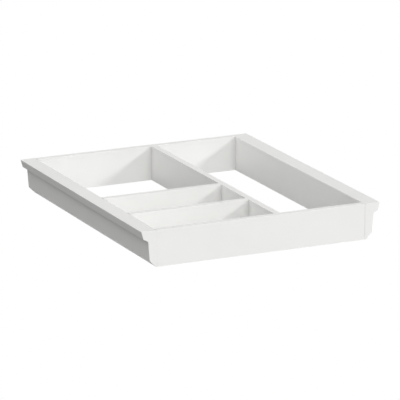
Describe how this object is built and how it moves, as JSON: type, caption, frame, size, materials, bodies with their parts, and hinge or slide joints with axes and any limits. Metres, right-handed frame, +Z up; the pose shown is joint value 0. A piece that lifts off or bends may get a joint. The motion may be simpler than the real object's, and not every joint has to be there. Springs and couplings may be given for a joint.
{
  "type": "drawer organizer insert",
  "caption": "Bottomless rectangular insert that hooks over a drawer's sides with moulded side rails and sorts small items into open compartments between thin upright dividers.",
  "frame": {"origin": "middle of the underside, where the insert stands on a drawer's floor", "axes": "+X to the right seen from the front, +Y from the front panel to the rear panel, +Z up"},
  "size_m": [0.312, 0.366, 0.0444],
  "materials": {
    "white_lacquer": "satin white lacquer on fine fibreboard",
    "beech_dowel": "raw fluted beech"
  },
  "bodies": {
    "root": {"left_side_rail": "white_lacquer", "right_side_rail": "white_lacquer", "front_panel": "white_lacquer", "rear_panel": "white_lacquer", "long_divider": "white_lacquer", "front_cross_divider": "white_lacquer", "rear_cross_divider": "white_lacquer", "front_left_dowel_lower": "beech_dowel", "front_left_dowel_upper": "beech_dowel", "front_right_dowel_lower": "beech_dowel", "front_right_dowel_upper": "beech_dowel", "rear_left_dowel_lower": "beech_dowel", "rear_left_dowel_upper": "beech_dowel", "rear_right_dowel_lower": "beech_dowel", "rear_right_dowel_upper": "beech_dowel", "long_front_dowel_lower": "beech_dowel", "long_front_dowel_upper": "beech_dowel", "long_rear_dowel_lower": "beech_dowel", "long_rear_dowel_upper": "beech_dowel", "front_cross_left_dowel_lower": "beech_dowel", "front_cross_left_dowel_upper": "beech_dowel", "front_cross_right_dowel_lower": "beech_dowel", "front_cross_right_dowel_upper": "beech_dowel", "rear_cross_left_dowel_lower": "beech_dowel", "rear_cross_left_dowel_upper": "beech_dowel", "rear_cross_right_dowel_lower": "beech_dowel", "rear_cross_right_dowel_upper": "beech_dowel"}
  },
  "joints": []
}
